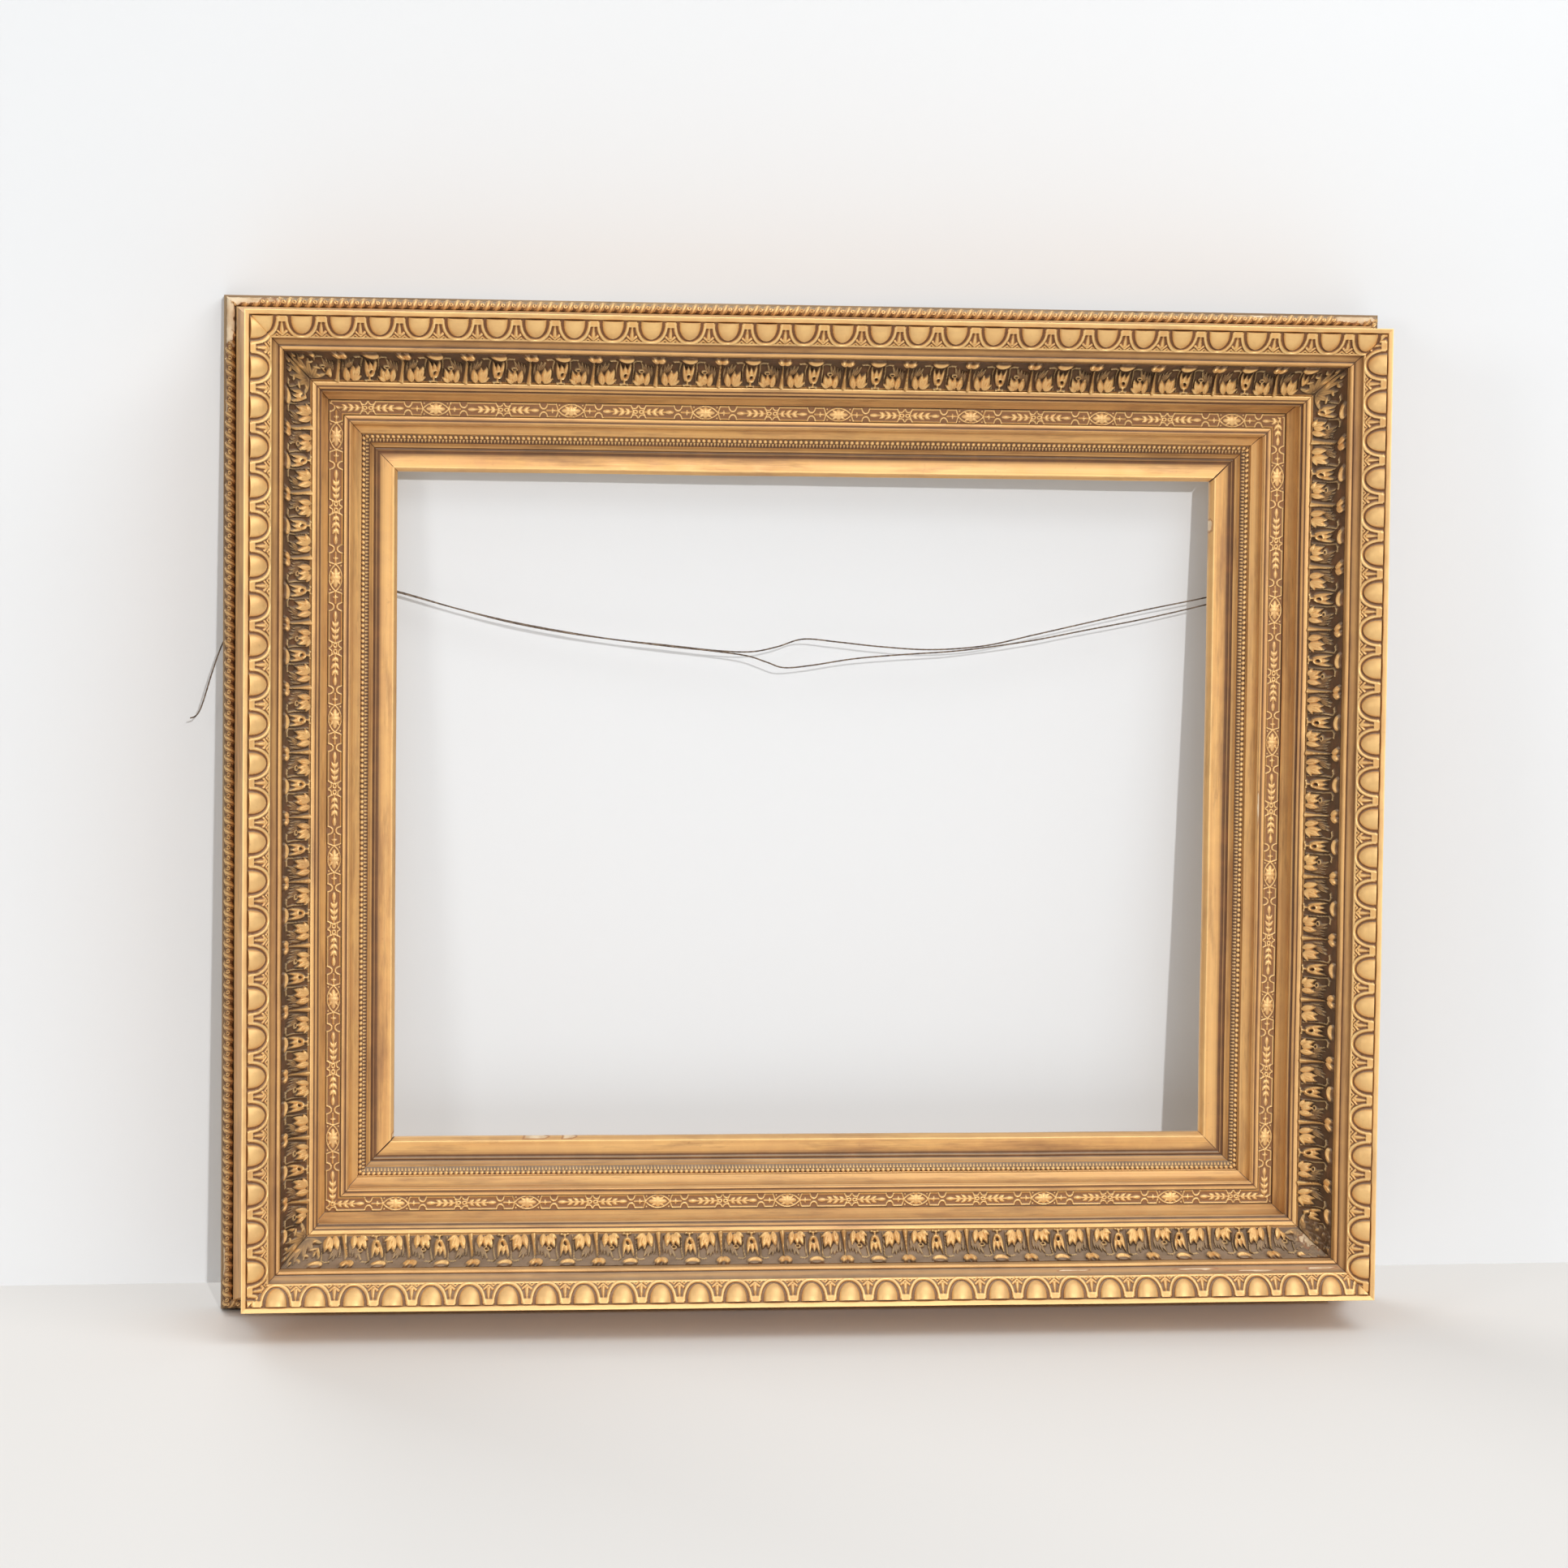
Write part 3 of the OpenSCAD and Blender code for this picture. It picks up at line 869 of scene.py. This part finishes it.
def node(tree, kind, **settings):
    made = tree.nodes.new(kind)
    for key, value in settings.items():
        setattr(made, key, value)
    return made


def link(tree, source, target):
    tree.links.new(source, target)


def feed(tree, socket, value):
    """Give a socket a number, a colour or another node's output."""
    if isinstance(value, (int, float)):
        socket.default_value = value
    elif isinstance(value, tuple):
        socket.default_value = (*value, 1)
    else:
        link(tree, value, socket)


def ramp(tree, source, stops):
    """A colour ramp from a source, with stops of (place, colour)."""
    made = node(tree, "ShaderNodeValToRGB")
    elements = made.color_ramp.elements
    while len(elements) < len(stops):
        elements.new(0.5)
    for element, (place, colour) in zip(elements, stops):
        element.position = place
        element.color = (*colour, 1) if isinstance(colour, tuple) else (colour, colour, colour, 1)
    link(tree, source, made.inputs["Fac"])
    return made.outputs["Color"]


def noise(tree, vector, scale, detail=4, rough=0.55):
    made = node(tree, "ShaderNodeTexNoise")
    for key, value in (("Scale", scale), ("Detail", detail), ("Roughness", rough)):
        made.inputs[key].default_value = value
    link(tree, vector, made.inputs["Vector"])
    return made.outputs["Fac"]


def maths(tree, operation, a, b=0.5, c=None, clamp=False):
    made = node(tree, "ShaderNodeMath", operation=operation, use_clamp=clamp)
    for socket, value in zip(made.inputs, (a, b) if c is None else (a, b, c)):
        feed(tree, socket, value)
    return made.outputs[0]


def times(tree, a, b):
    return maths(tree, "MULTIPLY", a, b)


def scaled(tree, source, by, plus):
    """source times by, plus a number, kept from 0 to 1."""
    return maths(tree, "MULTIPLY_ADD", source, by, plus, clamp=True)


def mix_colour(tree, share, a, b):
    made = node(tree, "ShaderNodeMix", data_type="RGBA")
    for socket, value in ((made.inputs["Factor"], share), (made.inputs["A"], a), (made.inputs["B"], b)):
        feed(tree, socket, value)
    return made.outputs["Result"]


def attribute(tree, name):
    return node(tree, "ShaderNodeAttribute", attribute_type="GEOMETRY", attribute_name=name)


def stretched(tree, vector, scale):
    made = node(tree, "ShaderNodeMapping")
    made.inputs["Scale"].default_value = scale
    link(tree, vector, made.inputs["Vector"])
    return made.outputs["Vector"]


def object_place(tree):
    return node(tree, "ShaderNodeTexCoord").outputs["Object"]


def new_material(name):
    made = bpy.data.materials.new(name)
    made.use_nodes = True
    return made, made.node_tree, made.node_tree.nodes["Principled BSDF"]


def add_bump(tree, shader, height, strength, distance):
    raised = node(tree, "ShaderNodeBump")
    raised.inputs["Strength"].default_value = strength
    raised.inputs["Distance"].default_value = distance
    link(tree, height, raised.inputs["Height"])
    link(tree, raised.outputs["Normal"], shader.inputs["Normal"])


# Colours of the gilding
YELLOW_GOLD = (0.86, 0.52, 0.17)
RED_GOLD = (0.50, 0.22, 0.09)
BRUSHED_GOLD = (0.44, 0.215, 0.085)
SHINING_GOLD = (0.90, 0.59, 0.25)
# Bright gold of rubbed edges and crowns, and of their painted highlight
RUB_AND_HIGHLIGHT_GOLD = (0.97, 0.67, 0.30)
TARNISH = (0.30, 0.145, 0.06)
RUST = (0.30, 0.105, 0.04)
SPECKS = (0.27, 0.10, 0.04)
RED_CLAY = (0.36, 0.15, 0.07)
DUST, GROUND_DUST = (0.42, 0.33, 0.23), (0.34, 0.245, 0.165)
OLD_GESSO, CLEAN_GESSO = (0.58, 0.38, 0.20), (0.84, 0.68, 0.47)
DARK_WOOD, PALE_WOOD, STAINED_WOOD = (0.27, 0.165, 0.085), (0.50, 0.35, 0.19), (0.22, 0.14, 0.08)


def make_gilding_group():
    """Old gilding: drifting gold, brushed streaks, dirt with painted shade in the hollows, dust, rubbed
    edges with a painted highlight, and bare gesso and wood.
    """
    tree = bpy.data.node_groups.new("old gilding", "ShaderNodeTree")

    def socket(name, way, kind):
        return tree.interface.new_socket(name=name, in_out=way, socket_type=f"NodeSocket{kind}")

    for name in ("Gold", "Dirt", "Dust"):
        socket(name, "INPUT", "Color")
    for name in ("Height", "Dirt Reach", "Streaks", "Rubbed Crowns And Highlight"):
        socket(name, "INPUT", "Float").default_value = 1.0
    socket("Color", "OUTPUT", "Color")
    for name in ("Metal", "Rough", "Bump"):
        socket(name, "OUTPUT", "Float")
    into, out = node(tree, "NodeGroupInput"), node(tree, "NodeGroupOutput")
    lay_at = attribute(tree, "lay").outputs["Vector"]
    wear_and_painted_light = attribute(tree, "wear_and_painted_light").outputs["Fac"]
    bare = attribute(tree, "bare").outputs["Fac"]
    place = object_place(tree)
    big = noise(tree, place, 7, 3)
    mid = noise(tree, place, 45, 5, 0.6)
    fine = noise(tree, place, 420, 4, 0.65)
    streak = noise(tree, stretched(tree, lay_at, (5, 520, 520)), 1.0, 3, 0.6)
    broad_streak = noise(tree, stretched(tree, lay_at, (2.2, 150, 150)), 1.0, 3, 0.55)
    # Gold that drifts between a yellower and a redder tone, with long brushed streaks
    yellow = mix_colour(tree, 0.34, into.outputs["Gold"], YELLOW_GOLD)
    red = mix_colour(tree, 0.36, into.outputs["Gold"], RED_GOLD)
    drift = maths(tree, "ADD", scaled(tree, big, 2.6, -0.95), scaled(tree, mid, 2.4, -1.0), clamp=True)
    gold = mix_colour(tree, drift, red, yellow)
    streaked = times(tree, scaled(tree, streak, 2.6, -0.8), into.outputs["Streaks"])
    gold = mix_colour(tree, streaked, gold, BRUSHED_GOLD)
    shone = times(tree, scaled(tree, broad_streak, 3.0, -1.2), into.outputs["Streaks"])
    gold = mix_colour(tree, shone, gold, SHINING_GOLD)
    # Brown tarnish in smears along the rail
    smear = noise(tree, stretched(tree, lay_at, (9, 70, 70)), 1.0, 4, 0.65)
    tarnish = times(tree, scaled(tree, smear, 4.0, -2.0), into.outputs["Streaks"])
    gold = mix_colour(tree, maths(tree, "MULTIPLY", tarnish, 2.0, clamp=True), gold, TARNISH)
    # Dirt where the relief is low; dirt and painted shade in the hollows, corners and sheltered places of
    # the section and round raised ornament
    low = maths(tree, "SUBTRACT", into.outputs["Dirt Reach"], into.outputs["Height"])
    low = maths(tree, "MULTIPLY_ADD", low, 4.0, 0.3)
    low = maths(tree, "ADD", low, maths(tree, "MULTIPLY_ADD", mid, 1.0, -0.5), clamp=True)
    # Painted shade: this mask darkens corners, sheltered places and the ground round raised ornament
    hollow_dirt_and_shade = scaled(tree, wear_and_painted_light, -4.2, 1.93)
    dirt_and_shade = maths(tree, "MAXIMUM", low, hollow_dirt_and_shade)
    rusty = mix_colour(tree, scaled(tree, mid, 3.0, -1.3), into.outputs["Dirt"], RUST)
    grime_and_shade = mix_colour(tree, 0.4, into.outputs["Dirt"], rusty)
    colour = mix_colour(tree, times(tree, dirt_and_shade, 0.93), gold, grime_and_shade)
    # Dust settles on what faces up
    facing = node(tree, "ShaderNodeSeparateXYZ")
    link(tree, node(tree, "ShaderNodeNewGeometry").outputs["Normal"], facing.inputs[0])
    upward = scaled(tree, facing.outputs["Z"], 1.3, -0.1)
    settled = times(tree, upward, scaled(tree, dirt_and_shade, 0.75, 0.16))
    settled = times(tree, settled, scaled(tree, mid, 0.9, 0.35))
    colour = mix_colour(tree, settled, colour, into.outputs["Dust"])
    # Proud edges and high crowns are rubbed bright, with a painted highlight
    proud = times(tree, scaled(tree, wear_and_painted_light, 2.6, -1.42), scaled(tree, mid, 1.3, 0.1))
    # Painted highlight: the higher the relief, the brighter its crown
    crown_rub_and_highlight = maths(tree, "POWER", into.outputs["Height"], 2.0)
    crown_rub_and_highlight = times(tree, crown_rub_and_highlight, into.outputs["Rubbed Crowns And Highlight"])
    crown_rub_and_highlight = times(tree, crown_rub_and_highlight, scaled(tree, mid, 1.2, 0.2))
    proud = maths(tree, "ADD", proud, crown_rub_and_highlight, clamp=True)
    colour = mix_colour(tree, proud, colour, RUB_AND_HIGHLIGHT_GOLD)
    # Specks of dirt and of the red clay under the gold
    speck = ramp(tree, noise(tree, place, 170, 2, 0.5), [(0.0, 0.55), (0.31, 0.0), (1, 0.0)])
    colour = mix_colour(tree, speck, colour, SPECKS)
    # Bare gesso under lost gilding, with a thin red rim
    rim = ramp(tree, bare, [(0, 0.0), (0.22, 0.8), (0.5, 0.0)])
    colour = mix_colour(tree, rim, colour, RED_CLAY)
    lost = scaled(tree, bare, 3.4, -1.2)
    gesso = mix_colour(tree, scaled(tree, mid, 3.0, -1.0), OLD_GESSO, CLEAN_GESSO)
    colour = mix_colour(tree, lost, colour, gesso)
    # The back was never gilded
    raw = attribute(tree, "raw").outputs["Fac"]
    wood = mix_colour(tree, scaled(tree, broad_streak, 2.4, -0.7), DARK_WOOD, PALE_WOOD)
    wood = mix_colour(tree, scaled(tree, mid, 2.0, -0.9), wood, STAINED_WOOD)
    colour = mix_colour(tree, raw, colour, wood)
    link(tree, colour, out.inputs["Color"])
    clean = maths(tree, "MAXIMUM", maths(tree, "MAXIMUM", dirt_and_shade, lost), raw)
    clean = maths(tree, "SUBTRACT", 1.0, clean, clamp=True)
    clean = times(tree, clean, maths(tree, "SUBTRACT", 1.0, settled))
    bright = maths(tree, "MULTIPLY_ADD", proud, 0.4, 0.30)
    link(tree, times(tree, clean, bright), out.inputs["Metal"])
    rough = maths(tree, "ADD", scaled(tree, mid, 0.25, 0.34), times(tree, dirt_and_shade, 0.3), clamp=True)
    link(tree, rough, out.inputs["Rough"])
    grit = maths(tree, "ADD", times(tree, fine, 0.5), times(tree, streak, 0.8))
    link(tree, maths(tree, "ADD", grit, times(tree, mid, 0.8)), out.inputs["Bump"])
    return tree


def gilt_material(name, group, gold, dirt_and_shade, dust, reach, streaks, rubbed=0.0, relief=True):
    """Gilding that reads the marks of its piece. Relief says that the piece carries its own heights."""
    made, tree, shader = new_material(name)
    effect = node(tree, "ShaderNodeGroup", node_tree=group)
    for key, value in (("Gold", gold), ("Dirt", dirt_and_shade), ("Dust", dust)):
        effect.inputs[key].default_value = (*value, 1)
    # rubbed sets how far crowns are rubbed bright and given a painted highlight
    for key, value in (("Dirt Reach", reach), ("Streaks", streaks), ("Rubbed Crowns And Highlight", rubbed)):
        effect.inputs[key].default_value = value
    if relief:
        link(tree, attribute(tree, "relief").outputs["Fac"], effect.inputs["Height"])
    for key, socket in (("Color", "Base Color"), ("Metal", "Metallic"), ("Rough", "Roughness")):
        link(tree, effect.outputs[key], shader.inputs[socket])
    add_bump(tree, shader, effect.outputs["Bump"], 0.25, 0.0006)
    return made


def pine_material(name, grain_way):
    """Bare pine, grey-brown with age. grain_way says which of X, Y and Z the grain runs along."""
    made, tree, shader = new_material(name)
    place = object_place(tree)
    rings = stretched(tree, place, tuple(3 if way else 75 for way in grain_way))
    warp = noise(tree, place, 5, 2)
    bent = node(tree, "ShaderNodeVectorMath", operation="ADD")
    link(tree, rings, bent.inputs[0])
    link(tree, warp, bent.inputs[1])
    grain = noise(tree, bent.outputs[0], 1.0, 7, 0.62)
    fibre = noise(tree, stretched(tree, place, tuple(24 if way else 700 for way in grain_way)), 1.0, 4, 0.6)
    stain = noise(tree, place, 4.5, 5, 0.6)
    spots = noise(tree, place, 60, 3, 0.5)
    tones = [(0.28, (0.19, 0.105, 0.045)), (0.48, (0.40, 0.25, 0.12)), (0.7, (0.53, 0.37, 0.20))]
    colour = ramp(tree, grain, tones)
    colour = mix_colour(tree, scaled(tree, fibre, 0.9, -0.2), colour, (0.22, 0.135, 0.07))
    colour = mix_colour(tree, ramp(tree, stain, [(0.38, 0.0), (0.72, 0.62)]), colour, (0.15, 0.105, 0.07))
    colour = mix_colour(tree, ramp(tree, spots, [(0.64, 0.0), (0.74, 0.5)]), colour, (0.10, 0.06, 0.035))
    link(tree, colour, shader.inputs["Base Color"])
    link(tree, scaled(tree, grain, 0.3, 0.58), shader.inputs["Roughness"])
    add_bump(tree, shader, maths(tree, "ADD", grain, fibre), 0.5, 0.0006)
    return made


def metal_material(name, bright, dull, rough, metal, scale=140):
    """Old metal: clean and tarnished patches, with fine scratches."""
    made, tree, shader = new_material(name)
    place = object_place(tree)
    patches = noise(tree, place, scale, 5, 0.62)
    scratch = noise(tree, stretched(tree, place, (1600, 1600, 300)), 1.0, 3, 0.6)
    colour = ramp(tree, patches, [(0.38, dull), (0.60, bright)])
    colour = mix_colour(tree, scaled(tree, scratch, 0.8, -0.2), colour, dull)
    link(tree, colour, shader.inputs["Base Color"])
    link(tree, ramp(tree, patches, [(0.3, metal * 0.55), (0.55, metal)]), shader.inputs["Metallic"])
    link(tree, scaled(tree, patches, -0.3, rough + 0.15), shader.inputs["Roughness"])
    add_bump(tree, shader, maths(tree, "ADD", patches, scratch), 0.3, 0.0002)
    return made


def plain_stage(name, colour, one_sided=False):
    """A matt surface. A one-sided one is seen by the camera from its front only."""
    made, tree, shader = new_material(name)
    shader.inputs["Base Color"].default_value = (*colour, 1)
    shader.inputs["Roughness"].default_value = 0.85
    if one_sided:
        out = tree.nodes["Material Output"]
        clear = node(tree, "ShaderNodeBsdfTransparent")
        seen = node(tree, "ShaderNodeLightPath").outputs["Is Camera Ray"]
        front = maths(tree, "SUBTRACT", 1.0, node(tree, "ShaderNodeNewGeometry").outputs["Backfacing"])
        both = node(tree, "ShaderNodeMixShader")
        link(tree, times(tree, seen, front), both.inputs["Fac"])
        link(tree, clear.outputs[0], both.inputs[1])
        link(tree, shader.outputs[0], both.inputs[2])
        link(tree, both.outputs[0], out.inputs["Surface"])
    return made


# -------- stage and light


# The frame leans back on the wall, so beside the upright frame the wall and floor are the ones that tilt.
# Angles in degrees, and the gap behind the middle of the opening in metres.
LEAN = 5.0
WALL_TURN = 0.9
WALL_GAP = 0.0615
FLOOR_COLOUR = (0.82, 0.81, 0.79)
WALL_COLOUR = (0.79, 0.805, 0.82)


def add_plane(name, place, turn, material):
    """A wide flat backdrop, with its middle at place."""
    bm = bmesh.new()
    bmesh.ops.create_grid(bm, x_segments=1, y_segments=1, size=6)
    bmesh.ops.transform(bm, matrix=Matrix.Translation(place) @ turn.to_4x4(), verts=bm.verts)
    mesh = bpy.data.meshes.new(name)
    bm.to_mesh(mesh)
    bm.free()
    mesh.materials.append(material)
    add_object(name, mesh)


def add_stage():
    """A pale floor, and the pale wall that the frame leans on."""
    floor_z = cad_box[0][2] - 0.5 * MM
    level = Matrix.Rotation(math.radians(LEAN), 3, "X")
    add_plane("floor", Vector((0, 0, floor_z)), level, plain_stage("pale floor", FLOOR_COLOUR))
    upright = Matrix.Rotation(math.radians(90 + LEAN), 3, "X")
    upright = Matrix.Rotation(math.radians(WALL_TURN), 3, "Z") @ upright
    wall = plain_stage("pale wall", WALL_COLOUR, one_sided=True)
    add_plane("wall", Vector((0, WALL_GAP, 0)), upright, wall)


def add_lamp(name, kind, place, power, target=(0, 0, 0), **settings):
    """A lamp at place that faces its target."""
    data = bpy.data.lights.new(name, kind)
    data.energy = power
    for key, value in settings.items():
        setattr(data, key, value)
    lamp = add_object(name, data)
    lamp.location = place
    lamp.rotation_euler = (Vector(target) - Vector(place)).to_track_quat("-Z", "Y").to_euler()


def add_light():
    """A bright ceiling and a dimmer room, a small far key a little right and above, and soft fill."""
    world = bpy.data.worlds.new("studio")
    world.use_nodes = True
    tree = world.node_tree
    way = node(tree, "ShaderNodeSeparateXYZ")
    link(tree, node(tree, "ShaderNodeTexCoord").outputs["Generated"], way.inputs[0])
    height = scaled(tree, way.outputs["Z"], 0.5, 0.5)
    sky = ramp(tree, height, [(0.0, 0.10), (0.46, 0.15), (0.62, 0.33), (1.0, 0.74)])
    link(tree, sky, tree.nodes["Background"].inputs["Color"])
    tree.nodes["Background"].inputs["Strength"].default_value = 1.0
    bpy.context.scene.world = world
    bpy.context.scene.view_settings.view_transform = "Standard"
    add_lamp("key", "SUN", (0.78, -5.4, 1.15), 1.15, angle=math.radians(1.4))
    soft = {"kind": "AREA", "shape": "RECTANGLE"}
    add_lamp("over", place=(1.5, -2.3, 2.7), power=50, target=(0, -0.1, 0), size=3.0, size_y=1.8, **soft)
    add_lamp("left", place=(-3.0, -3.4, 0.9), power=24, size=0.9, size_y=1.3, **soft)
    add_lamp("behind", place=(-1.6, 3.0, 1.8), power=55, size=2.5, size_y=2.5, **soft)


# -------- the pieces


GOLD, SLIP_GOLD = (0.79, 0.425, 0.145), (0.80, 0.435, 0.145)
# Dark brown of dirt and painted shade in the hollows and corners of the plain rails
DEEP_DIRT_AND_SHADE = (0.105, 0.042, 0.018)

PLAIN_STREAKS = 0.4
OPEN_MITRE = 1.8

# For each pressed ornament: the CAD bands it stands for, its gold, the colour of its dirt, also laid as
# painted shade round its relief, its dust, how high the dirt reaches, how streaked it is and how far its
# crowns are rubbed bright and given a painted highlight
ORNAMENT = {
    "eggs": ("egg", (0.80, 0.43, 0.14), (0.15, 0.06, 0.025), DUST, 0.12, 0.12, 0.6),
    "leaves": ("leaf", (0.84, 0.46, 0.155), (0.050, 0.023, 0.011), GROUND_DUST, 0.56, 0.08, 0.25),
    "frieze": ("frieze", (0.88, 0.54, 0.22), (0.26, 0.12, 0.05), DUST, 0.44, 0.08, 0.3),
    "beads": ("bead", (0.80, 0.46, 0.185), (0.085, 0.035, 0.015), DUST, 0.5, 0.08, 0.4),
    "ribbon": ("ribbon", (0.74, 0.45, 0.20), (0.125, 0.06, 0.03), DUST, 0.26, 0.08, 0.4),
}


def add_wires(steel):
    add_wire("upper", UPPER_ROUTE, steel)
    add_wire("lower", LOWER_ROUTE, steel)
    add_wire("tail", TAIL_ROUTE, steel)
    for side, way in (("left", -1), ("right", 1)):
        add_winding(f"winding_{side}", (583.5 * way, 13, 290), (-11 * way, -1, -14), steel)


def add_rails_and_ornament():
    group = make_gilding_group()
    plain = (DEEP_DIRT_AND_SHADE, DUST, 0.0, PLAIN_STREAKS)
    gilt = gilt_material("gilt moulding", group, GOLD, *plain, relief=False)
    slip_gilt = gilt_material("gilt slip", group, SLIP_GOLD, *plain, relief=False)
    finishes = {name: gilt_material(f"gilt {name}", group, *row[1:]) for name, row in ORNAMENT.items()}
    for k, side in enumerate(SIDES):
        for name, outline in (("outer", outer_outline()), ("inner", inner_outline())):
            piece = rail(f"{name}_rail_{side}", k, outline)
            finish_piece(piece, gilt, "gilt_moulding", f"{name}_moulding_{side}")
        crack = OPEN_MITRE if side in ("left", "top") else 0
        open_end = 1 if side == "left" else -1
        slip = rail(f"slip_{side}", k, slip_outline(), crack=crack, open_end=open_end)
        finish_piece(slip, slip_gilt, "gilt_slip", f"slip_rail_{side}")
        for name, piece in make_ornament(k, side).items():
            finish_piece(piece, finishes[name], "gilt_ornament", f"{ORNAMENT[name][0]}_band_{side}")


def finish_cad_pieces(steel):
    """Give the CAD pieces that still show their wood, brass or steel."""
    level_pine = pine_material("aged pine, level grain", (True, False, False))
    upright_pine = pine_material("aged pine, upright grain", (False, False, True))
    brass = metal_material("old brass", (0.55, 0.385, 0.16), (0.32, 0.21, 0.09), 0.34, 0.9, 60)
    for name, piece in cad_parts.items():
        if name in ("back_rail_bottom", "back_rail_top"):
            use = level_pine
        elif name.startswith(("back_rail", "corner_key")):
            use = upright_pine
        elif name.startswith("turn_button"):
            use = brass
        else:
            use = steel
        for slot in piece.material_slots:
            slot.material = use


add_camera()
dull_steel = metal_material("dull steel", (0.24, 0.18, 0.13), (0.07, 0.045, 0.03), 0.45, 0.6)
add_wires(dull_steel)
add_stage()
add_light()
add_rails_and_ornament()
finish_cad_pieces(dull_steel)
